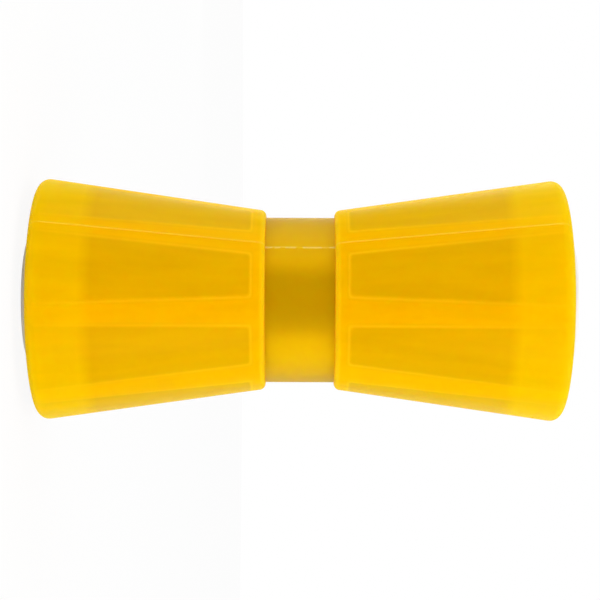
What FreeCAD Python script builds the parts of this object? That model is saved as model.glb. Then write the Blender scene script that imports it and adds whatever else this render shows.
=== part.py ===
"""Keel roller of a boat trailer: a hollow ribbed hourglass roller with a flanged bushing in each end.

The part stands on its lower flange, with its turning axis along +Z and its origin at the middle of
the face it stands on. Lengths are in millimetres and angles in degrees.
"""
import FreeCAD, Part
import os
import Sketcher
from FreeCAD import Placement, Rotation, Vector

DIMENSIONS = {
    # Outline of the moulded body. The end diameter is where the cone would meet the end face before
    # that corner is rounded.
    "body_length": 195.2,
    "end_diameter": 91.2,
    "waist_diameter": 61.8,
    "waist_length": 25.6,
    "shoulder_step": 2.6,
    "end_rounding": 4.0,
    "shoulder_rounding": 2.3,
    # Pockets of each cone, which leave the shell, the web, the hub and the ribs between them.
    "shell_wall": 5.8,
    "pocket_floor_setback": 4.9,
    "hub_wall": 3.3,
    "hub_draft": 0.5,
    "rib_count": 8,
    "rib_thickness_at_mouth": 6.6,
    "rib_draft": 0.72,
    # Raised line where the two halves of the mould met.
    "parting_line_height": 0.15,
    "parting_line_width": 0.4,
    "parting_line_root": 1.0,
    # Shaft, bushings and their seats in the hub.
    "shaft_diameter": 15.875,
    "shaft_clearance": 0.2,
    "bushing_wall": 2.8,
    "bushing_barrel_length": 19.0,
    "bushing_seat_clearance": 0.05,
    "bushing_end_gap": 0.4,
    "bushing_chamfer": 0.8,
    "passage_clearance": 1.1,
    "flange_diameter": 47.0,
    "flange_thickness": 4.0,
    "flange_chamfer": 0.8,
}

# Sizes that follow from the ones above, written for the sheet's own expressions.
HALF_BODY = "(Sizes.body_length / 2)"
HALF_WAIST = "(Sizes.waist_length / 2)"
OVERALL_LENGTH = "(Sizes.body_length + 2 * Sizes.flange_thickness)"
END_RADIUS = "(Sizes.end_diameter / 2)"
WAIST_RADIUS = "(Sizes.waist_diameter / 2)"
SHOULDER_RADIUS = f"({WAIST_RADIUS} + Sizes.shoulder_step)"
CONE_GRADIENT = f"(({END_RADIUS} - {SHOULDER_RADIUS}) / ({HALF_BODY} - {HALF_WAIST}))"
CONE_SLOPE = f"atan({CONE_GRADIENT})"
# The shoulder's rounding can't be wider than the step that carries it.
MOST_OF_STEP = 0.95
SHOULDER_ROUNDING = f"min(Sizes.shoulder_rounding; {MOST_OF_STEP} * Sizes.shoulder_step)"

BORE_RADIUS = "(Sizes.shaft_diameter / 2 + Sizes.shaft_clearance)"
BARREL_RADIUS = f"({BORE_RADIUS} + Sizes.bushing_wall)"
SEAT_RADIUS = f"({BARREL_RADIUS} + Sizes.bushing_seat_clearance)"
SEAT_FLOOR = f"({HALF_BODY} - Sizes.bushing_barrel_length - Sizes.bushing_end_gap)"
PASSAGE_RADIUS = "(Sizes.shaft_diameter / 2 + Sizes.passage_clearance)"
FLANGE_RADIUS = "(Sizes.flange_diameter / 2)"

POCKET_FLOOR = f"({HALF_WAIST} + Sizes.pocket_floor_setback)"
POCKET_DEPTH = f"({HALF_BODY} - {POCKET_FLOOR})"
HUB_RADIUS_AT_MOUTH = f"({SEAT_RADIUS} + Sizes.hub_wall)"
HUB_RADIUS_AT_FLOOR = f"({HUB_RADIUS_AT_MOUTH} + {POCKET_DEPTH} * tan(Sizes.hub_draft))"
SHELL_RADIUS_AT_MOUTH = f"({END_RADIUS} - Sizes.shell_wall / cos({CONE_SLOPE}))"
SHELL_RADIUS_AT_FLOOR = f"({SHELL_RADIUS_AT_MOUTH} - {POCKET_DEPTH} * {CONE_GRADIENT})"


def open_sheet(doc):
    """Put the driving dimensions into a sheet, one named cell each."""
    sheet = doc.addObject("Spreadsheet::Sheet", "Sizes")
    for row, (name, value) in enumerate(DIMENSIONS.items(), start=1):
        sheet.set(f"A{row}", name)
        sheet.set(f"B{row}", str(value))
        sheet.setAlias(f"B{row}", name)
    doc.recompute()
    return sheet


def value_of(owner, expression):
    """The number that an expression gives now, in millimetres or degrees."""
    result = owner.evalExpression(expression)
    return float(getattr(result, "Value", result))


def origin_feature(body, role):
    """The plane or axis of a body's own origin that has this role."""
    return next(feature for feature in body.Origin.OriginFeatures if feature.Role == role)


def draw_outline(body, name, role, corners):
    """Draw a closed outline of straight lines on one of the body's origin planes.

    Each corner is a pair of expressions, across and up. None puts the corner on that axis. A leading
    minus sign puts it on the far side of the axis.
    """
    sketch = body.newObject("Sketcher::SketchObject", name)
    sketch.AttachmentSupport = [(origin_feature(body, role), "")]
    sketch.MapMode = "FlatFace"

    places = [Vector(*(value_of(body, part) if part else 0.0 for part in corner), 0) for corner in corners]
    for number, start in enumerate(places):
        end = places[(number + 1) % len(places)]
        sketch.addGeometry(Part.LineSegment(start, end), False)
    for number in range(len(corners)):
        following = (number + 1) % len(corners)
        sketch.addConstraint(Sketcher.Constraint("Coincident", number, 2, following, 1))

    for number, (across, up) in enumerate(corners):
        for kind, axis, part, size in (
            ("DistanceX", -2, across, places[number].x),
            ("DistanceY", -1, up, places[number].y),
        ):
            if part is None:
                sketch.addConstraint(Sketcher.Constraint("PointOnObject", number, 1, axis))
                continue
            if size < 0:
                constraint = Sketcher.Constraint(kind, number, 1, -1, 1, -size)
                part = part.lstrip("-")
            else:
                constraint = Sketcher.Constraint(kind, -1, 1, number, 1, size)
            index = sketch.addConstraint(constraint)
            sketch.setExpression(f"Constraints[{index}]", part)
    return sketch


def turn_outline(body, kind, name, sketch):
    """Turn an outline once round the body's Z axis, as a Revolution or a Groove."""
    feature = body.newObject(kind, name)
    feature.Profile = sketch
    feature.ReferenceAxis = (sketch, ["V_Axis"])
    feature.Angle = 360.0
    return feature


def round_edges(body, name, radius, is_wanted):
    """Round the edges of the body's tip that the test wants."""
    base = body.Tip
    edges = [f"Edge{number}" for number, edge in enumerate(base.Shape.Edges, start=1) if is_wanted(edge)]
    fillet = body.newObject("PartDesign::Fillet", name)
    fillet.Base = (base, edges)
    fillet.setExpression("Radius", radius)
    return fillet


def is_ring(edge, radius, height):
    """Whether an edge is a circle round the Z axis with this radius and height."""
    curve = edge.Curve
    if not isinstance(curve, Part.Circle):
        return False
    near = 0.01
    on_axis = Vector(curve.Center.x, curve.Center.y, 0).Length < near
    return on_axis and abs(curve.Radius - radius) < near and abs(curve.Center.z - height) < near


def mould_outline(doc, body):
    """Outer form of one half of the roller: half the waist, the shoulder step and the cone."""
    outline = draw_outline(body, "half_outline", "XZ_Plane", [
        (None, None),
        (WAIST_RADIUS, None),
        (WAIST_RADIUS, HALF_WAIST),
        (SHOULDER_RADIUS, HALF_WAIST),
        (END_RADIUS, HALF_BODY),
        (None, HALF_BODY),
    ])
    turn_outline(body, "PartDesign::Revolution", "half_form", outline)
    doc.recompute()

    half_body = value_of(body, HALF_BODY)
    half_waist = value_of(body, HALF_WAIST)
    for name, rounding, corner_radius, corner_height in (
        ("end_rounding", "Sizes.end_rounding", END_RADIUS, half_body),
        ("shoulder_rounding", SHOULDER_ROUNDING, SHOULDER_RADIUS, half_waist),
    ):
        corner = value_of(body, corner_radius)
        round_edges(body, name, rounding, lambda edge: is_ring(edge, corner, corner_height))
        doc.recompute()


def bore_hub(body):
    """Passage for the shaft through the middle, and the bushing's wider seat at the end."""
    mouth_radius = f"({SEAT_RADIUS} + Sizes.bushing_chamfer)"
    mouth_height = f"({HALF_BODY} - Sizes.bushing_chamfer)"
    outline = draw_outline(body, "bore_outline", "XZ_Plane", [
        (None, None),
        (PASSAGE_RADIUS, None),
        (PASSAGE_RADIUS, SEAT_FLOOR),
        (SEAT_RADIUS, SEAT_FLOOR),
        (SEAT_RADIUS, mouth_height),
        (mouth_radius, HALF_BODY),
        (None, HALF_BODY),
    ])
    turn_outline(body, "PartDesign::Groove", "bore_and_seat", outline)


def make_pocket_cores(doc):
    """The mould's core for one cone: a ring between hub and shell, slotted where the ribs stand."""
    cores = doc.addObject("PartDesign::Body", "pocket_cores")
    cores.AllowCompound = True
    ring = draw_outline(cores, "core_outline", "XZ_Plane", [
        (HUB_RADIUS_AT_FLOOR, POCKET_FLOOR),
        (SHELL_RADIUS_AT_FLOOR, POCKET_FLOOR),
        (SHELL_RADIUS_AT_MOUTH, HALF_BODY),
        (HUB_RADIUS_AT_MOUTH, HALF_BODY),
    ])
    turn_outline(cores, "PartDesign::Revolution", "core_ring", ring)
    doc.recompute()

    half_rib_at_mouth = "(Sizes.rib_thickness_at_mouth / 2)"
    half_rib_at_floor = f"({half_rib_at_mouth} + {POCKET_DEPTH} * tan(Sizes.rib_draft))"
    slot = cores.newObject("PartDesign::Pocket", "rib_slot")
    slot.Profile = draw_outline(cores, "rib_outline", "YZ_Plane", [
        (f"-{half_rib_at_floor}", POCKET_FLOOR),
        (half_rib_at_floor, POCKET_FLOOR),
        (half_rib_at_mouth, HALF_BODY),
        (f"-{half_rib_at_mouth}", HALF_BODY),
    ])
    slot.Reversed = True
    slot.setExpression("Length", END_RADIUS)
    doc.recompute()

    slots = cores.newObject("PartDesign::PolarPattern", "rib_slots")
    slots.Originals = [slot]
    slots.Axis = (origin_feature(cores, "Z_Axis"), [""])
    slots.Angle = 360.0
    slots.setExpression("Occurrences", "Sizes.rib_count")
    cores.Tip = slots
    doc.recompute()
    return cores


def raise_parting_line(doc, body):
    """Thin raised line along the waist and the cone, on two opposite sides, between the roundings."""
    rise = "Sizes.parting_line_height"
    root = "Sizes.parting_line_root"
    cone_start = f"({HALF_WAIST} + Sizes.shoulder_rounding)"
    cone_end = f"({HALF_BODY} - Sizes.end_rounding)"
    start_radius = f"({SHOULDER_RADIUS} + Sizes.shoulder_rounding * {CONE_GRADIENT})"
    end_radius = f"({END_RADIUS} - Sizes.end_rounding * {CONE_GRADIENT})"
    stretches = {
        "waist_parting_line": [
            (f"({WAIST_RADIUS} - {root})", None),
            (f"({WAIST_RADIUS} + {rise})", None),
            (f"({WAIST_RADIUS} + {rise})", HALF_WAIST),
            (f"({WAIST_RADIUS} - {root})", HALF_WAIST),
        ],
        "cone_parting_line": [
            (f"({start_radius} - {root})", cone_start),
            (f"({start_radius} + {rise})", cone_start),
            (f"({end_radius} + {rise})", cone_end),
            (f"({end_radius} - {root})", cone_end),
        ],
    }
    lines = []
    for name, corners in stretches.items():
        line = body.newObject("PartDesign::Pad", name)
        line.Profile = draw_outline(body, f"{name}_outline", "XZ_Plane", corners)
        line.Midplane = True
        line.setExpression("Length", "Sizes.parting_line_width")
        doc.recompute()
        lines.append(line)

    far_side = body.newObject("PartDesign::Mirrored", "far_parting_line")
    far_side.Originals = lines
    far_side.MirrorPlane = (origin_feature(body, "YZ_Plane"), [""])
    body.Tip = far_side
    doc.recompute()


def make_roller_body(doc):
    """The moulding: one half with its hollow cone, and its mirror image across the waist."""
    half = doc.addObject("PartDesign::Body", "roller_half")
    mould_outline(doc, half)
    bore_hub(half)
    doc.recompute()
    raise_parting_line(doc, half)

    cored_half = doc.addObject("Part::Cut", "cored_half")
    cored_half.Base = half
    cored_half.Tool = make_pocket_cores(doc)
    other_half = doc.addObject("Part::Mirroring", "other_half")
    other_half.Source = cored_half
    other_half.Normal = Vector(0, 0, 1)
    doc.recompute()

    roller = doc.addObject("Part::Fuse", "roller_body")
    roller.Base = cored_half
    roller.Tool = other_half
    roller.Refine = True
    roller.setExpression("Placement.Base.z", f"{OVERALL_LENGTH} / 2")
    return roller


def make_bushing(doc, name, turn, height):
    """Flanged bushing, modelled from the barrel's inner end up to the flange's outer face."""
    body = doc.addObject("PartDesign::Body", name)
    barrel_length = "Sizes.bushing_barrel_length"
    top = f"({barrel_length} + Sizes.flange_thickness)"
    chamfer = "Sizes.bushing_chamfer"
    flange_chamfer = "Sizes.flange_chamfer"
    outline = draw_outline(body, f"{name}_outline", "XZ_Plane", [
        (BORE_RADIUS, chamfer),
        (f"({BORE_RADIUS} + {chamfer})", None),
        (f"({BARREL_RADIUS} - {chamfer})", None),
        (BARREL_RADIUS, chamfer),
        (BARREL_RADIUS, barrel_length),
        (FLANGE_RADIUS, barrel_length),
        (FLANGE_RADIUS, f"({top} - {flange_chamfer})"),
        (f"({FLANGE_RADIUS} - {flange_chamfer})", top),
        (f"({BORE_RADIUS} + {chamfer})", top),
        (BORE_RADIUS, f"({top} - {chamfer})"),
    ])
    turn_outline(body, "PartDesign::Revolution", f"{name}_form", outline)
    body.Placement = Placement(Vector(0, 0, 0), Rotation(Vector(1, 0, 0), turn))
    body.setExpression("Placement.Base.z", height)
    return body


def refuse_faults(doc, sub_parts):
    """Stop before writing anything if a feature failed or a solid isn't whole."""
    for feature in doc.Objects:
        if "Invalid" in feature.State or "Error" in feature.State:
            raise RuntimeError(f"{feature.Label} failed: {feature.State}")
    for sub_part in sub_parts:
        shape = sub_part.Shape
        if shape.isNull() or not shape.isValid() or len(shape.Solids) != 1:
            raise RuntimeError(f"{sub_part.Label} is not one whole solid")


def main():
    doc = FreeCAD.newDocument("boat_trailer_roller")
    open_sheet(doc)
    seated_length = "(Sizes.bushing_barrel_length + Sizes.flange_thickness)"
    sub_parts = [
        make_roller_body(doc),
        make_bushing(doc, "bottom_bushing", 180, seated_length),
        make_bushing(doc, "top_bushing", 0, f"{OVERALL_LENGTH} - {seated_length}"),
    ]
    doc.recompute()
    refuse_faults(doc, sub_parts)

    os.makedirs("parts", exist_ok=True)
    for sub_part in sub_parts:
        shape = sub_part.Shape
        shape.exportStep(os.path.join("parts", f"{sub_part.Label}.step"))
        box = shape.optimalBoundingBox()
        print(f"{sub_part.Label}: {shape.Volume / 1000:.2f} cm3, {len(shape.Faces)} faces, "
              f"z {box.ZMin:.3f} to {box.ZMax:.3f}, across {box.XLength:.3f}")


main()
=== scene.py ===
"""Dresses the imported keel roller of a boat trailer: a ribbed amber moulding with a white bushing in each end.

Lengths are in metres and angles in radians. The roller stands on its lower flange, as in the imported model.
"""

import math

import bmesh
import bpy
from bpy.props import FloatProperty, FloatVectorProperty, IntProperty, PointerProperty
from mathutils import Matrix, Vector


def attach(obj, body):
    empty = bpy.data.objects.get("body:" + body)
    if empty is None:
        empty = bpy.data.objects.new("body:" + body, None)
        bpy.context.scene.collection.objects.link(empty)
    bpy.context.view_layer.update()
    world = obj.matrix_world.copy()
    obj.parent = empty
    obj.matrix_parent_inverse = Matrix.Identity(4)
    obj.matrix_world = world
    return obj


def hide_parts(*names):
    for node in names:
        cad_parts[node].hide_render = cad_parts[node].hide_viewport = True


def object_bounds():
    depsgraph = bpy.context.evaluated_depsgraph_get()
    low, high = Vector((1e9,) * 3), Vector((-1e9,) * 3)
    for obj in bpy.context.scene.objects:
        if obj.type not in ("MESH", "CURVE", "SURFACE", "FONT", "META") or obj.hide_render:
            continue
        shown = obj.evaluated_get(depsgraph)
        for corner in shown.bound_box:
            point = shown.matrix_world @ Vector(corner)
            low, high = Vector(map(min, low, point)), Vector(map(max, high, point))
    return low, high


bl_info = {
    "name": "Boat Trailer Keel Roller",
    "version": (1, 0, 0),
    "blender": (4, 5, 0),
    "location": "3D View > Sidebar > Roller",
    "description": "Models a hollow ribbed keel roller with its two flanged bushings",
    "category": "Object",
}

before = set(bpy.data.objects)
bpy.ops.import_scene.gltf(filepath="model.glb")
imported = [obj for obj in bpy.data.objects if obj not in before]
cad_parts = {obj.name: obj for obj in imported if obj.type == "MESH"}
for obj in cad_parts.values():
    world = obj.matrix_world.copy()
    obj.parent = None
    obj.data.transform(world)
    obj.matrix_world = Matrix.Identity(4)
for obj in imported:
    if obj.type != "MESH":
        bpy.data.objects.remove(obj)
CAD_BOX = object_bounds()
MIDDLE = (CAD_BOX[0].z + CAD_BOX[1].z) / 2
MERGE_DISTANCE = 2e-6
SMOOTH_ANGLE = math.radians(35)

# Each lamp's direction from the roller as shares of toward the camera, up and right in the picture, then
# its distance and size in metres and its power in watts.
LAMPS = (
    ("soft_front", (1.0, -0.8, 0.0), 1.2, 0.9, 11.0),
    ("soft_top", (0.25, 1.0, 0.0), 0.9, 0.9, 4.2),
    ("soft_back", (-1.0, 0.51, 0.0), 1.2, 0.5, 0.6),
    ("soft_end", (0.3, 0.0, 1.0), 1.2, 0.9, 2.0),
)


def length(name, description, default):
    """A size in metres that the sidebar shows in scene units."""
    return FloatProperty(name=name, description=description, default=default, min=0.0, precision=5,
                         subtype="DISTANCE", unit="LENGTH")


def angle(name, description, degrees):
    """An angle in radians, written here in degrees."""
    return FloatProperty(name=name, description=description, default=math.radians(degrees), subtype="ANGLE",
                         unit="ROTATION")


def share(name, description, default):
    """A share from 0 to 1."""
    return FloatProperty(name=name, description=description, default=default, min=0.0, max=1.0,
                         subtype="FACTOR")


def colour(name, description, default):
    """A linear colour."""
    return FloatVectorProperty(name=name, description=description, default=default, min=0.0, max=1.0,
                               size=3, subtype="COLOR")


class RollerSizes(bpy.types.PropertyGroup):
    """Sizes of the amber moulding."""
    body_length: length("Length", "Length of the moulding between its end faces", 0.1952)
    end_diameter: length("End diameter", "Where the cone would meet the end face", 0.0912)
    waist_diameter: length("Waist diameter", "Diameter of the narrow middle", 0.0618)
    waist_length: length("Waist length", "Length of the narrow middle", 0.0256)
    shoulder_step: length("Shoulder step", "How far each cone stands above the waist", 0.0026)
    end_rounding: length("End rounding", "Radius of the rounded rim of each end", 0.004)
    shoulder_rounding: length("Shoulder rounding", "Radius of each shoulder's rounded edge", 0.0023)
    shell_wall: length("Shell wall", "Thickness of the cone's wall", 0.0058)
    floor_setback: length("Floor setback", "From the shoulder to the floor of the pockets", 0.0049)
    hub_wall: length("Hub wall", "Thickness of the hub round a bushing, at the mouth", 0.0033)
    hub_draft: angle("Hub draft", "Taper of the hub along the pockets", 0.5)
    rib_count: IntProperty(name="Ribs", description="Ribs in each cone", default=8, min=3)
    rib_thickness: length("Rib thickness", "Thickness of a rib at the mouth of the pockets", 0.0066)
    rib_draft: angle("Rib draft", "Taper of each side of a rib", 0.72)
    hub_corner: length("Hub corners", "Rounding of the pocket's corners at the hub", 0.0012)
    shell_corner: length("Shell corners", "Rounding of the pocket's corners at the shell", 0.0018)
    floor_rounding: length("Floor rounding", "Rounding round the floor of each pocket", 0.001)
    mouth_rounding: length("Mouth rounding", "Rounding round the mouth of each pocket", 0.0005)
    line_width: length("Parting line width", "Width of the raised line along the moulding", 0.0004)
    line_height: length("Parting line height", "How far that line stands up", 0.00015)


class BushingSizes(bpy.types.PropertyGroup):
    """Sizes of the two bushings and of what holds them."""
    bore_diameter: length("Bore", "Diameter of the hole for the shaft", 0.016275)
    barrel_diameter: length("Barrel diameter", "Diameter of the part inside the hub", 0.021875)
    barrel_length: length("Barrel length", "How far the bushing reaches into the hub", 0.019)
    seat_clearance: length("Seat clearance", "Gap round the barrel", 0.00005)
    end_gap: length("End gap", "Gap between the barrel's end and the seat's floor", 0.0004)
    passage_diameter: length("Passage", "Diameter of the hub's own hole between the bushings", 0.018075)
    flange_diameter: length("Flange diameter", "Diameter of the flange outside the moulding", 0.047)
    flange_thickness: length("Flange thickness", "How far the flange stands out of the moulding", 0.004)
    edge_rounding: length("Edge rounding", "Rounding of the bushing's outer edges", 0.0008)


class Finishes(bpy.types.PropertyGroup):
    """Colours of the amber rubber, the nylon and the paper, with the painted shade and painted highlights of
    the amber.
    """
    amber: colour("Amber", "Colour of the moulding's cloudy skin", (0.985, 0.47, 0.0))
    # Painted shade: darker amber over the hollow pockets, standing in for the shade in the pockets seen through
    # the skin.
    amber_with_pocket_shade: colour("Amber over pockets", "Colour of the skin over the hollow pockets",
                              (0.88, 0.465, 0.0))
    # Painted light: paler amber round the bushings, standing in for light that the white nylon sends back
    # through the amber.
    amber_with_bushing_light: colour("Amber over white", "Colour where the white bushing shines through",
                           (1.0, 0.54, 0.0))
    # Painted highlight: paler amber along the pocket edges, the shoulders and the rims.
    painted_edge_highlight: colour("Edges", "Paler amber where an edge of the moulding catches light", (1.0, 0.54, 0.01))
    # Painted highlight: the raised parting line is coloured paler than the amber, in dashes on the waist and
    # faintly on the cones.
    seam: colour("Parting line", "Colour of the raised line along the moulding", (1.0, 0.7, 0.15))
    # Painted shade: a dark olive colour for the hub's hole, standing in for the shade inside the hole seen
    # through the waist.
    bore: colour("Bore", "Colour that the hub's hole shows through the waist", (0.27, 0.4, 0.0))
    clear_waist: colour("Clear waist", "Tint of the light that passes the solid waist", (1.0, 0.9, 0.0))
    clear_cone: colour("Clear cones", "Tint of the light that passes the cones", (1.0, 0.95, 0.0))
    depth: colour("Amber depth", "What thick parts of the moulding let through", (0.992, 0.98, 0.0))
    nylon: colour("Nylon", "Colour of the bushings", (0.86, 0.85, 0.82))
    paper: colour("Paper", "Colour of the floor", (0.94, 0.94, 0.93))


class ClearShares(bpy.types.PropertyGroup):
    """How much of the light passes each part of the amber straight, where the rest is cloudy."""
    over_pockets: share("Over pockets", "Clear share of the cones over the pockets", 0.27)
    over_solid: share("Over ribs", "Clear share of the cones over ribs and pocket floors", 0.15)
    over_bushings: share("Over bushings", "Clear share of the cones round the bushings", 0.18)
    waist: share("Waist", "Clear share of the waist", 0.58)
    edge_cloud: share("Edge cloud", "How much less clear the moulded edges are", 0.4)


class Stage(bpy.types.PropertyGroup):
    """Camera, floor and light."""
    camera_azimuth: angle("Camera azimuth", "Direction of the camera round the axis, from +X", 38.0)
    camera_roll: angle("Camera roll", "Turn of the camera about its line of sight", 0.252)
    camera_distance: length("Camera distance", "From the roller's middle to the camera", 0.676)
    camera_lens: FloatProperty(name="Lens", description="Focal length in millimetres", default=107.76,
                               min=1.0, subtype="DISTANCE_CAMERA")
    floor_radius: length("Floor radius", "Radius of the paper floor", 2.5)
    floor_gap: length("Floor gap", "How far the paper lies under the flange", 0.0002)
    soft_light: FloatProperty(name="Soft light", description="Strength of the light from all around",
                              default=0.75, min=0.0)


def deselect_all():
    """Leave nothing selected in object mode."""
    for obj in bpy.context.selected_objects:
        obj.select_set(False)


def make_active(obj):
    """Select one object only and make it the active one."""
    deselect_all()
    obj.select_set(True)
    bpy.context.view_layer.objects.active = obj


def select_elements(obj, kind, is_wanted):
    """In edit mode, select only the vertices, edges or faces that the test wants."""
    bpy.ops.mesh.select_mode(type=kind)
    bpy.ops.mesh.select_all(action="DESELECT")
    mesh = bmesh.from_edit_mesh(obj.data)
    for element in {"VERT": mesh.verts, "EDGE": mesh.edges, "FACE": mesh.faces}[kind]:
        if is_wanted(element):
            element.select_set(True)
    bmesh.update_edit_mesh(obj.data)


def lathe(name, outline, sides):
    """Model a turned solid from a closed outline of (radius, height), ring by ring from one circle."""
    deselect_all()
    radius, height = outline[0]
    bpy.ops.mesh.primitive_circle_add(vertices=sides, radius=radius, fill_type="NOTHING")
    obj = bpy.context.object
    obj.name = obj.data.name = name
    bpy.ops.object.mode_set(mode="EDIT")
    bpy.ops.mesh.select_all(action="SELECT")
    bpy.ops.transform.translate(value=(0, 0, height))
    for next_radius, next_height in [*outline[1:], outline[0]]:
        bpy.ops.mesh.extrude_edges_move(TRANSFORM_OT_translate={"value": (0, 0, next_height - height)})
        scale = next_radius / radius
        bpy.ops.transform.resize(value=(scale, scale, 1), center_override=(0, 0, next_height))
        radius, height = next_radius, next_height
    bpy.ops.mesh.select_all(action="SELECT")
    bpy.ops.mesh.remove_doubles(threshold=MERGE_DISTANCE / 2)
    bpy.ops.mesh.normals_make_consistent(inside=False)
    bpy.ops.object.mode_set(mode="OBJECT")
    return obj


def round_ring(obj, radius, height, width, segments):
    """Bevel the ring of edges at this radius and height. Width is the bevel's reach on each face."""
    near = 1e-5

    def is_on_ring(edge):
        return all(abs(math.hypot(v.co.x, v.co.y) - radius) < near and abs(v.co.z - height) < near
                   for v in edge.verts)

    make_active(obj)
    bpy.ops.object.mode_set(mode="EDIT")
    select_elements(obj, "EDGE", is_on_ring)
    bpy.ops.mesh.bevel(offset_type="OFFSET", offset=width, segments=segments, profile=0.5, affect="EDGES",
                       clamp_overlap=True)
    bpy.ops.object.mode_set(mode="OBJECT")


def apply_boolean(obj, cutter, operation):
    """Unite an object with another one, or cut that one out of it, and delete the other."""
    make_active(obj)
    modifier = obj.modifiers.new(operation.lower(), "BOOLEAN")
    modifier.operation = operation
    modifier.solver = "EXACT"
    modifier.object = cutter
    bpy.ops.object.modifier_apply(modifier=modifier.name)
    bpy.data.objects.remove(cutter, do_unlink=True)


def tidy_mesh(obj):
    """Merge doubles, drop slivers, point the faces outwards and smooth the shallow edges."""
    make_active(obj)
    bpy.ops.object.mode_set(mode="EDIT")
    bpy.ops.mesh.select_mode(type="VERT")
    bpy.ops.mesh.select_all(action="SELECT")
    bpy.ops.mesh.remove_doubles(threshold=MERGE_DISTANCE)
    bpy.ops.mesh.dissolve_degenerate(threshold=MERGE_DISTANCE)
    bpy.ops.mesh.normals_make_consistent(inside=False)
    bpy.ops.object.mode_set(mode="OBJECT")
    bpy.ops.object.shade_smooth_by_angle(angle=SMOOTH_ANGLE)


def bevel_reach(rounding, turn):
    """How far a rounding reaches along each face, where the faces turn by this angle."""
    return rounding * math.tan(turn / 2)


def make_line(low, high, width, rise):
    """Model a thin raised strip on the +X side, from one (radius, height) of the surface to another."""
    root = 0.001
    edge_rounding = 0.8 * rise
    deselect_all()
    bpy.ops.mesh.primitive_cube_add(size=1)
    line = bpy.context.object
    bpy.ops.object.mode_set(mode="EDIT")
    bpy.ops.mesh.select_all(action="SELECT")
    bpy.ops.transform.resize(value=(root + rise, width, high[1] - low[1]))
    bpy.ops.transform.translate(value=(low[0] + (rise - root) / 2, 0, (low[1] + high[1]) / 2))
    middle = (low[1] + high[1]) / 2
    select_elements(line, "VERT", lambda v: v.co.z > middle)
    bpy.ops.transform.translate(value=(high[0] - low[0], 0, 0))
    select_elements(line, "EDGE", lambda e: abs(e.verts[0].co.z - e.verts[1].co.z) > width
                    and min(v.co.x for v in e.verts) > low[0])
    bpy.ops.mesh.bevel(offset=edge_rounding, segments=3, profile=0.5, affect="EDGES")
    bpy.ops.object.mode_set(mode="OBJECT")
    return line


def arc(centre, radius, start, end, steps):
    """Points along an arc, its first one left out."""
    angles = (start + (end - start) * step / steps for step in range(1, steps + 1))
    return [(centre[0] + radius * math.cos(a), centre[1] + radius * math.sin(a)) for a in angles]


def pocket_section(hub, shell, half_rib, hub_corner, shell_corner, half_pitch):
    """Outline of one pocket between two ribs, seen along the axis, with rounded corners.

    One half is drawn beside a rib that lies along X, from the middle of the hub's wall to the middle
    of the shell's wall. It is then turned to lie along the pocket's own middle, and mirrored.
    """
    hub_side = half_rib + hub_corner
    shell_side = half_rib + shell_corner
    hub_centre = (math.sqrt((hub + hub_corner) ** 2 - hub_side ** 2), hub_side)
    shell_centre = (math.sqrt((shell - shell_corner) ** 2 - shell_side ** 2), shell_side)
    hub_angle = math.atan2(hub_centre[1], hub_centre[0])
    shell_angle = math.atan2(shell_centre[1], shell_centre[0])
    half = arc((0, 0), hub, half_pitch, hub_angle, 4)
    half += arc(hub_centre, hub_corner, hub_angle + math.pi, 1.5 * math.pi, 5)
    half += [(shell_centre[0], half_rib)]
    half += arc(shell_centre, shell_corner, -math.pi / 2, shell_angle, 6)
    half += arc((0, 0), shell, shell_angle, half_pitch, 8)
    turned = [(x * math.cos(half_pitch) + y * math.sin(half_pitch),
               y * math.cos(half_pitch) - x * math.sin(half_pitch)) for x, y in half]
    return turned + [(x, -y) for x, y in reversed(turned[:-1])] + [(hub, 0.0)]


def cone_gradient(sizes):
    """How much the cone's radius grows for each metre along the axis."""
    shoulder = sizes.waist_diameter / 2 + sizes.shoulder_step
    return (sizes.end_diameter / 2 - shoulder) / (sizes.body_length / 2 - sizes.waist_length / 2)


def pocket_rings(sizes, bushing):
    """The pocket's outlines from its floor out past its mouth, each with its distance from the middle."""
    half_body = sizes.body_length / 2
    floor = sizes.waist_length / 2 + sizes.floor_setback
    depth = half_body - floor
    gradient = cone_gradient(sizes)
    shell_at_mouth = sizes.end_diameter / 2 - sizes.shell_wall / math.cos(math.atan(gradient))
    hub_at_mouth = bushing.barrel_diameter / 2 + bushing.seat_clearance + sizes.hub_wall

    stations = []
    floor_steps = 5
    for step in range(floor_steps + 1):
        turn = math.pi / 2 * step / floor_steps
        stations.append((floor + sizes.floor_rounding * (1 - math.cos(turn)),
                         -sizes.floor_rounding * (1 - math.sin(turn))))
    for part_way in (0.35, 0.7):
        stations.append((floor + part_way * depth, 0.0))
    mouth_steps = 3
    for step in range(mouth_steps + 1):
        turn = math.pi / 2 * step / mouth_steps
        stations.append((half_body - sizes.mouth_rounding * (1 - math.sin(turn)),
                         sizes.mouth_rounding * (1 - math.cos(turn))))
    past_mouth = 0.002
    stations.append((half_body + past_mouth, sizes.mouth_rounding))

    rings = []
    for distance, spread in stations:
        inward = half_body - min(distance, half_body)
        outline = pocket_section(
            hub=hub_at_mouth + inward * math.tan(sizes.hub_draft) - spread,
            shell=shell_at_mouth - inward * gradient + spread,
            half_rib=sizes.rib_thickness / 2 + inward * math.tan(sizes.rib_draft) - spread,
            hub_corner=sizes.hub_corner + spread,
            shell_corner=sizes.shell_corner + spread,
            half_pitch=math.pi / sizes.rib_count)
        rings.append((distance, outline))
    return rings


def place_ring(obj, outline, height):
    """Move the selected ring of vertices onto an outline at this height."""
    mesh = bmesh.from_edit_mesh(obj.data)
    chosen = [v for v in mesh.verts if v.select]
    ordered = [min(chosen, key=lambda v: v.index)]
    while len(ordered) < len(chosen):
        here = ordered[-1]
        neighbours = [e.other_vert(here) for e in here.link_edges if e.select]
        ordered.append(min((v for v in neighbours if v not in ordered[-2:]), key=lambda v: v.index))
    for vert, (x, y) in zip(ordered, outline):
        vert.co = (x, y, height)
    bmesh.update_edit_mesh(obj.data)


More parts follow.
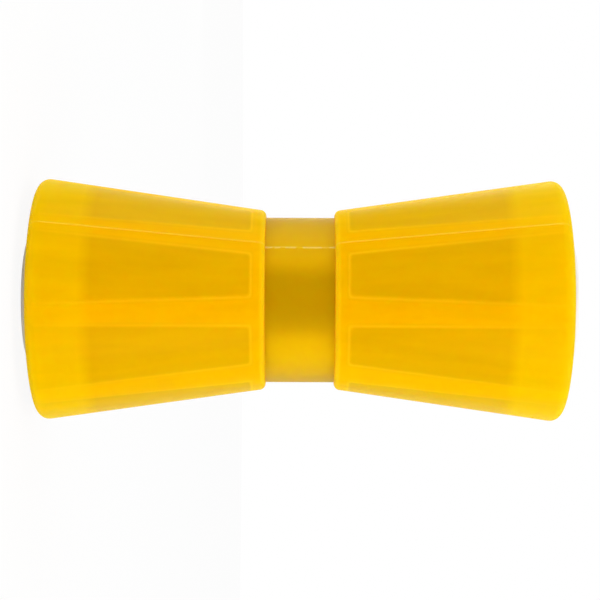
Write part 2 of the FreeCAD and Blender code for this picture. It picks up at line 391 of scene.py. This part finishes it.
def make_pocket_pin(rings):
    """Model the pin that leaves one pocket, as a tapered bar lofted from one circle."""
    deselect_all()
    first_height, first_outline = rings[0]
    bpy.ops.mesh.primitive_circle_add(vertices=len(first_outline), radius=0.01, fill_type="NGON")
    pin = bpy.context.object
    bpy.ops.object.mode_set(mode="EDIT")
    bpy.ops.mesh.select_all(action="SELECT")
    place_ring(pin, first_outline, first_height)
    for height, outline in rings[1:]:
        bpy.ops.mesh.extrude_region()
        place_ring(pin, outline, height)
    bpy.ops.mesh.select_all(action="SELECT")
    bpy.ops.mesh.normals_make_consistent(inside=False)
    bpy.ops.object.mode_set(mode="OBJECT")
    return pin


def copy_turned(obj, turn):
    """Copy an object with a mesh of its own, turned by a matrix that is put into the mesh."""
    twin = obj.copy()
    twin.data = obj.data.copy()
    twin.data.transform(turn)
    if turn.determinant() < 0:
        twin.data.flip_normals()
    bpy.context.collection.objects.link(twin)
    return twin


def join_all(objects):
    """Join objects into the first one."""
    deselect_all()
    for obj in objects:
        obj.select_set(True)
    bpy.context.view_layer.objects.active = objects[0]
    bpy.ops.object.join()
    return objects[0]


class Wire:
    """One output of a shader's node tree. Python's operators on it add the nodes they stand for."""

    def __init__(self, tree, socket=None):
        self.tree = tree
        self.socket = socket

    def node(self, kind, settings, sockets, output=0):
        """Add a node: first its settings, then the values or links of its sockets."""
        made = self.tree.nodes.new(kind)
        for name, value in settings.items():
            setattr(made, name, value)
        for name, value in sockets.items():
            if isinstance(value, Wire):
                self.tree.links.new(value.socket, made.inputs[name])
            else:
                made.inputs[name].default_value = value
        return Wire(self.tree, made.outputs[output] if made.outputs else None)

    def math(self, operation, *values):
        """A Math node on one, two or three values."""
        return self.node("ShaderNodeMath", {"operation": operation}, dict(enumerate(values)))

    def __add__(self, other):
        return self.math("ADD", self, other)

    __radd__ = __add__

    def __sub__(self, other):
        return self.math("SUBTRACT", self, other)

    def __rsub__(self, other):
        return self.math("SUBTRACT", other, self)

    def __mul__(self, other):
        return self.math("MULTIPLY", self, other)

    __rmul__ = __mul__

    def __abs__(self):
        return self.math("ABSOLUTE", self)

    def most(self, other):
        """The larger of two values."""
        return self.math("MAXIMUM", self, other)

    def above(self, limit):
        """1 where this value is above the limit."""
        return self.math("GREATER_THAN", self, limit)

    def spread(self, low, high):
        """Spread this value from 0 at low to 1 at high."""
        return self.node("ShaderNodeMapRange", {"clamp": True}, {0: self, 1: low, 2: high, 3: 0.0, 4: 1.0})

    def between(self, low, high):
        """The value or wire that lies this share of the way from low to high."""
        return low + (high - low) * self

    def part(self, name):
        """One coordinate of a place."""
        return self.node("ShaderNodeSeparateXYZ", {}, {0: self}, output=name)

    def noise(self, scale, detail, stretch=(1, 1, 1)):
        """Noise at this place, drawn out along the axes with a small stretch."""
        place = self.node("ShaderNodeMapping", {"vector_type": "POINT"}, {"Vector": self, "Scale": stretch})
        return self.node("ShaderNodeTexNoise", {"noise_dimensions": "3D"},
                         {"Vector": place, "Scale": scale, "Detail": detail})

    def mixed(self, low, high):
        """The colour that lies this share of the way from low to high."""
        return self.node("ShaderNodeMix", {"data_type": "RGBA"}, {0: self, 6: low, 7: high}, output=2)

    def bump(self, strength, depth):
        """A normal that follows this value as a height."""
        return self.node("ShaderNodeBump", {}, {"Strength": strength, "Distance": depth, "Height": self})


def new_material(name):
    """An empty material, with a wire on its node tree and one on its Object coordinates."""
    material = bpy.data.materials.new(name)
    material.use_nodes = True
    material.node_tree.nodes.clear()
    wire = Wire(material.node_tree)
    return material, wire, wire.node("ShaderNodeTexCoord", {}, {}, output="Object")


def rgba(values, strength=1.0):
    """A colour for a socket, with full alpha."""
    return (values[0] * strength, values[1] * strength, values[2] * strength, 1.0)


def amber_zones(wire, place, sizes, bushing):
    """Masks on the moulding from 0 to 1, by the name of what each one marks."""
    half_body = sizes.body_length / 2
    half_waist = sizes.waist_length / 2
    waist = sizes.waist_diameter / 2
    pocket_floor = half_waist + sizes.floor_setback
    seat_floor = half_body - bushing.barrel_length - bushing.end_gap
    pitch = 2 * math.pi / sizes.rib_count

    across = place.part("X")
    along = place.part("Y")
    radius = wire.math("SQRT", across * across + along * along)
    height = abs(place.part("Z") - MIDDLE)

    skin_depth = 0.0014
    margin = 0.0001
    cone = height.above(half_waist - margin)
    outline = waist + ((height - half_waist) * cone_gradient(sizes) + sizes.shoulder_step) * cone
    step = (1 - height.above(half_waist + skin_depth)) * radius.above(waist - skin_depth)
    skin = (radius - outline).above(-skin_depth).most(height.above(half_body - skin_depth)).most(step)
    wall = 0.0005
    # The passage mask marks the hub's hole, which is made cloudy and gets the painted shade.
    passage = (1 - height.above(seat_floor - wall)) * (1 - radius.above(bushing.passage_diameter / 2 + wall))

    pocket_corner = 0.002
    from_rib = abs(wire.math("WRAP", wire.math("ARCTAN2", along, across), pitch / 2, -pitch / 2))
    half_rib = (half_body - height) * math.tan(sizes.rib_draft) + sizes.rib_thickness / 2
    past_rib = (radius - sizes.shell_wall) * wire.math("SINE", from_rib) - half_rib
    in_pocket = wire.math("SMOOTH_MIN", past_rib, height - pocket_floor, pocket_corner)
    blur = 0.0011
    rim = height.spread(half_body - 0.9 * sizes.end_rounding, half_body - 0.4 * sizes.end_rounding)
    solid = ((1 - in_pocket.spread(-blur, blur)) * cone).most(rim)
    over_bushing = height.spread(seat_floor - 0.004, seat_floor + 0.001) * cone

    # The edge mask places painted highlights round the pockets, on the shoulders and on the rims. It also makes
    # these edges cloudier.
    brim = 0.0007
    fading = 0.7 * height.spread(pocket_floor, half_body)
    pocket_edge = (1 - abs(in_pocket).spread(0.0, brim)) * (1 - fading)
    shoulder_edge = 1 - (height - half_waist).spread(0.2 * sizes.shoulder_rounding, sizes.shoulder_rounding)
    rim_edge = (half_body - height).spread(sizes.end_rounding, 0.25 * sizes.end_rounding)
    edge = pocket_edge.most(shoulder_edge).most(0.6 * rim_edge) * cone
    # The parting line's mask, broken into dashes on the waist, places a painted highlight and a cloudier share
    # along the raised line.
    breaks = place.noise(350.0, 1.0).spread(0.42, 0.52)
    seam_on_cones = 0.12
    seam = 1 - abs(along).spread(0.5 * sizes.line_width, 1.5 * sizes.line_width)
    seam = seam * cone.between(breaks, seam_on_cones)
    return {"skin": skin, "cone": cone, "solid": solid, "bushing": over_bushing, "passage": passage,
            "edge": edge, "seam": seam}


def amber_material(finishes, clear_shares, sizes, bushing):
    """See-through amber: a cloudy skin and clear amber, mixed by what lies under the skin. Its colour holds
    painted shade over the pockets and in the hub's hole, and painted light over the bushings, edges and parting
    line.
    """
    material, wire, place = new_material("amber_rubber")
    zones = amber_zones(wire, place, sizes, bushing)
    cone, edge, seam = zones["cone"], zones["edge"], zones["seam"]
    passage, over_bushing = zones["passage"], zones["bushing"]

    on_cone = over_bushing.between(clear_shares.over_pockets, clear_shares.over_bushings)
    on_cone = zones["solid"].between(on_cone, clear_shares.over_solid)
    on_skin = cone.between(clear_shares.waist, on_cone) * (1 - clear_shares.edge_cloud * edge.most(seam))
    flow_marks = place.noise(160.0, 2.0, stretch=(1, 1, 0.06)) - 0.5
    clear_share = zones["skin"].between(1 - passage, on_skin + flow_marks * 0.16)

    cloud = place.noise(18.0, 2.0)
    amber = cloud.spread(0.3, 0.7).mixed(rgba(finishes.amber, 0.99), rgba(finishes.amber))
    # Painted shade: the skin is darkened where the hollow pockets lie under it.
    amber = ((1 - zones["solid"]) * cone).mixed(amber, rgba(finishes.amber_with_pocket_shade))
    # Painted light: the amber is made paler where the white bushings lie under it.
    amber = (0.6 * over_bushing).mixed(amber, rgba(finishes.amber_with_bushing_light))
    # Painted highlight on the edges that the edge mask marks.
    amber = (0.5 * edge).mixed(amber, rgba(finishes.painted_edge_highlight))
    # Painted highlight along the raised parting line.
    amber = seam.mixed(amber, rgba(finishes.seam))
    # Painted shade in the hub's hole.
    amber = passage.mixed(amber, rgba(finishes.bore))
    inside_roughness = 0.5
    waist_roughness = 0.4
    cone_roughness = 0.2
    on_surface = cone.between(waist_roughness, cone_roughness) + 0.04 * cloud
    roughness = zones["skin"].between(inside_roughness, on_surface)
    grain = place.noise(900.0, 2.0).bump(0.08, 0.0002)

    cloudy = wire.node("ShaderNodeBsdfPrincipled", {}, {
        "Base Color": amber,
        "Roughness": roughness,
        "Specular IOR Level": 0.0,
        "Subsurface Weight": 1.0,
        "Subsurface Radius": (1.0, 0.6, 0.1),
        "Subsurface Scale": 0.01,
        "Normal": grain,
    })
    clear = wire.node("ShaderNodeBsdfPrincipled", {}, {
        "Base Color": cone.mixed(rgba(finishes.clear_waist), rgba(finishes.clear_cone)),
        "Roughness": roughness,
        "IOR": 1.38,
        "Specular Tint": (1.0, 0.7, 0.02, 1.0),
        "Transmission Weight": 1.0,
        "Normal": grain,
    })
    surface = wire.node("ShaderNodeMixShader", {}, {0: clear_share, 1: cloudy, 2: clear})
    depth = wire.node("ShaderNodeVolumeAbsorption", {}, {"Color": rgba(finishes.depth), "Density": 400.0})
    wire.node("ShaderNodeOutputMaterial", {}, {"Surface": surface, "Volume": depth})
    return material


def nylon_material(finishes):
    """White nylon with a dull moulded skin."""
    material, wire, place = new_material("white_nylon")
    cloud = place.noise(60.0, 3.0)
    surface = wire.node("ShaderNodeBsdfPrincipled", {}, {
        "Base Color": cloud.spread(0.3, 0.7).mixed(rgba(finishes.nylon, 0.96), rgba(finishes.nylon)),
        "Roughness": 0.4 + 0.12 * cloud,
        "IOR": 1.53,
        "Normal": place.noise(2500.0, 2.0).bump(0.1, 0.0001),
    })
    wire.node("ShaderNodeOutputMaterial", {}, {"Surface": surface})
    return material


def seen_rays(wire):
    """1 for rays that show the background to the camera, straight, reflected or through the amber."""
    camera = wire.node("ShaderNodeLightPath", {}, {}, output="Is Camera Ray")
    glossy = wire.node("ShaderNodeLightPath", {}, {}, output="Is Glossy Ray")
    passed = wire.node("ShaderNodeLightPath", {}, {}, output="Is Transmission Ray")
    return camera.most(glossy).most(passed)


def paper_material(finishes):
    """White paper, near white to the camera, that keeps a trace of the roller's shadow."""
    material, wire, place = new_material("white_paper")
    fibres = place.noise(900.0, 3.0)
    paper = wire.node("ShaderNodeBsdfPrincipled", {}, {
        "Base Color": fibres.spread(0.3, 0.7).mixed(rgba(finishes.paper, 0.98), rgba(finishes.paper)),
        "Roughness": 0.9,
        "Specular IOR Level": 0.0,
    })
    white = wire.node("ShaderNodeEmission", {}, {"Color": rgba((1, 1, 1)), "Strength": 1.0})
    whiteness = 0.92
    surface = wire.node("ShaderNodeMixShader", {}, {0: seen_rays(wire) * whiteness, 1: paper, 2: white})
    wire.node("ShaderNodeOutputMaterial", {}, {"Surface": surface})
    return material


class ROLLER_OT_mould_body(bpy.types.Operator):
    """Model the amber moulding: turned outline, parting line and the sixteen pockets"""
    bl_idname = "roller.mould_body"
    bl_label = "Mould the body"

    def execute(self, context):
        sizes = context.scene.roller_sizes
        bushing = context.scene.roller_bushing_sizes
        half_body = sizes.body_length / 2
        half_waist = sizes.waist_length / 2
        end = sizes.end_diameter / 2
        waist = sizes.waist_diameter / 2
        shoulder = waist + sizes.shoulder_step
        gradient = cone_gradient(sizes)
        slope = math.atan(gradient)
        seat = bushing.barrel_diameter / 2 + bushing.seat_clearance
        seat_floor = half_body - bushing.barrel_length - bushing.end_gap
        passage = bushing.passage_diameter / 2
        seat_mouth = 0.0008

        half_outline = [(waist, half_waist), (shoulder, half_waist), (end, half_body),
                        (seat + seat_mouth, half_body), (seat, half_body - seat_mouth),
                        (seat, seat_floor), (passage, seat_floor)]
        outline = half_outline + [(radius, -height) for radius, height in reversed(half_outline)]
        body = lathe("amber_body", outline, sides=192)
        end_reach = bevel_reach(sizes.end_rounding, math.pi / 2 + slope)
        shoulder_reach = bevel_reach(sizes.shoulder_rounding, math.pi / 2 - slope)
        for side in (1, -1):
            round_ring(body, end, side * half_body, end_reach, segments=10)
            round_ring(body, shoulder, side * half_waist, shoulder_reach, segments=8)

        low = half_waist + sizes.shoulder_rounding
        high = half_body - sizes.end_rounding
        lines = []
        on_waist = (waist, -half_waist), (waist, half_waist)
        on_cone = ((shoulder + sizes.shoulder_rounding * gradient, low),
                   (end - sizes.end_rounding * gradient, high))
        for start, finish in (on_waist, on_cone):
            line = make_line(start, finish, sizes.line_width, sizes.line_height)
            lines += [line, copy_turned(line, Matrix.Rotation(math.pi, 4, "Z"))]
        lines += [copy_turned(line, Matrix.Diagonal((1, 1, -1, 1))) for line in lines[2:]]
        apply_boolean(body, join_all(lines), "UNION")

        pin = make_pocket_pin(pocket_rings(sizes, bushing))
        pitch = 2 * math.pi / sizes.rib_count
        pins = []
        for number in range(sizes.rib_count):
            turn = Matrix.Rotation((number + 0.5) * pitch, 4, "Z")
            pins.append(copy_turned(pin, turn))
            pins.append(copy_turned(pin, Matrix.Diagonal((1, 1, -1, 1)) @ turn))
        bpy.data.objects.remove(pin, do_unlink=True)
        apply_boolean(body, join_all(pins), "DIFFERENCE")

        body.data.transform(Matrix.Translation((0, 0, MIDDLE)))
        tidy_mesh(body)
        body.data.materials.clear()
        clear_shares = context.scene.roller_clear_shares
        amber = amber_material(context.scene.roller_finishes, clear_shares, sizes, bushing)
        body.data.materials.append(amber)
        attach(body, "root")
        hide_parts("roller_body")
        return {"FINISHED"}


class ROLLER_OT_turn_bushings(bpy.types.Operator):
    """Model the flanged nylon bushing of each end"""
    bl_idname = "roller.turn_bushings"
    bl_label = "Make the bushings"

    def execute(self, context):
        sizes = context.scene.roller_bushing_sizes
        half_body = context.scene.roller_sizes.body_length / 2
        bore = sizes.bore_diameter / 2
        barrel = sizes.barrel_diameter / 2
        flange = sizes.flange_diameter / 2
        inner = half_body - sizes.barrel_length
        outer = half_body + sizes.flange_thickness
        outline = [(bore, inner), (barrel, inner), (barrel, half_body), (flange, half_body),
                   (flange, outer), (bore, outer)]
        first = lathe("bushing", outline, sides=128)
        for radius, height in ((bore, inner), (barrel, inner), (flange, outer), (bore, outer)):
            round_ring(first, radius, height, sizes.edge_rounding, segments=5)
        round_ring(first, flange, half_body, 0.4 * sizes.edge_rounding, segments=3)

        nylon = nylon_material(context.scene.roller_finishes)
        for name, node, turn in (("bushing_top", "top_bushing", Matrix.Identity(4)),
                                 ("bushing_bottom", "bottom_bushing", Matrix.Diagonal((1, 1, -1, 1)))):
            bushing = copy_turned(first, Matrix.Translation((0, 0, MIDDLE)) @ turn)
            bushing.name = bushing.data.name = name
            tidy_mesh(bushing)
            bushing.data.materials.append(nylon)
            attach(bushing, "root")
            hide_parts(node)
        bpy.data.objects.remove(first, do_unlink=True)
        return {"FINISHED"}


class ROLLER_OT_set_stage(bpy.types.Operator):
    """Set the paper floor, the soft lamps, the white surroundings and the camera"""
    bl_idname = "roller.set_stage"
    bl_label = "Set the stage"

    def execute(self, context):
        stage = context.scene.roller_stage
        deselect_all()
        bpy.ops.mesh.primitive_circle_add(vertices=96, radius=stage.floor_radius, fill_type="NGON")
        floor = bpy.context.object
        floor.name = "paper_floor"
        floor.data.transform(Matrix.Translation((0, 0, -stage.floor_gap)))
        floor.data.materials.append(paper_material(context.scene.roller_finishes))

        world = bpy.data.worlds.new("white_surroundings")
        context.scene.world = world
        world.use_nodes = True
        world.node_tree.nodes.clear()
        wire = Wire(world.node_tree)
        white = rgba((1, 1, 1))
        light = wire.node("ShaderNodeBackground", {}, {"Color": white, "Strength": stage.soft_light})
        seen = wire.node("ShaderNodeBackground", {}, {"Color": white, "Strength": 1.0})
        both = wire.node("ShaderNodeMixShader", {}, {0: seen_rays(wire), 1: light, 2: seen})
        wire.node("ShaderNodeOutputWorld", {}, {"Surface": both})

        toward = Vector((math.cos(stage.camera_azimuth), math.sin(stage.camera_azimuth), 0))
        right = Vector((0, 0, 1))
        up = toward.cross(right)
        middle = Vector((0, 0, MIDDLE))
        for name, shares, distance, size, power in LAMPS:
            direction = (toward * shares[0] + up * shares[1] + right * shares[2]).normalized()
            data = bpy.data.lights.new(name, "AREA")
            data.shape = "SQUARE"
            data.size = size
            data.energy = power
            lamp = bpy.data.objects.new(name, data)
            context.collection.objects.link(lamp)
            lamp.location = middle + direction * distance
            lamp.rotation_euler = (-direction).to_track_quat("-Z", "Y").to_euler()

        data = bpy.data.cameras.new("camera")
        data.sensor_width = 36.0
        data.lens = stage.camera_lens
        camera = bpy.data.objects.new("camera", data)
        context.collection.objects.link(camera)
        context.scene.camera = camera
        roll = Matrix.Rotation(stage.camera_roll, 3, toward)
        camera.location = middle + toward * stage.camera_distance
        camera.rotation_euler = (roll @ Matrix((right, up, toward)).transposed()).to_euler()
        context.scene.view_settings.view_transform = "Standard"
        return {"FINISHED"}


class ROLLER_PT_sidebar(bpy.types.Panel):
    """Sizes, finishes and steps of the keel roller"""
    bl_idname = "ROLLER_PT_sidebar"
    bl_label = "Keel Roller"
    bl_space_type = "VIEW_3D"
    bl_region_type = "UI"
    bl_category = "Roller"

    def draw(self, context):
        for group_name in GROUPS:
            group = getattr(context.scene, group_name)
            box = self.layout.box()
            for name in group.bl_rna.properties.keys():
                if name not in {"rna_type", "name"}:
                    box.prop(group, name)
        for step in STEPS:
            self.layout.operator(step.bl_idname)


STEPS = (ROLLER_OT_mould_body, ROLLER_OT_turn_bushings, ROLLER_OT_set_stage)
GROUPS = {
    "roller_sizes": RollerSizes,
    "roller_bushing_sizes": BushingSizes,
    "roller_finishes": Finishes,
    "roller_clear_shares": ClearShares,
    "roller_stage": Stage,
}


def register():
    """Register the classes and hang the groups of sizes and finishes on the scene."""
    for cls in (*GROUPS.values(), *STEPS, ROLLER_PT_sidebar):
        bpy.utils.register_class(cls)
    for name, group in GROUPS.items():
        setattr(bpy.types.Scene, name, PointerProperty(type=group))


def unregister():
    """Take the groups off the scene and unregister the classes."""
    for name in GROUPS:
        delattr(bpy.types.Scene, name)
    for cls in (ROLLER_PT_sidebar, *reversed(STEPS), *reversed(GROUPS.values())):
        bpy.utils.unregister_class(cls)


def main():
    """Build the roller and its stage."""
    register()
    bpy.ops.roller.mould_body()
    bpy.ops.roller.turn_bushings()
    bpy.ops.roller.set_stage()


if __name__ == "__main__":
    main()
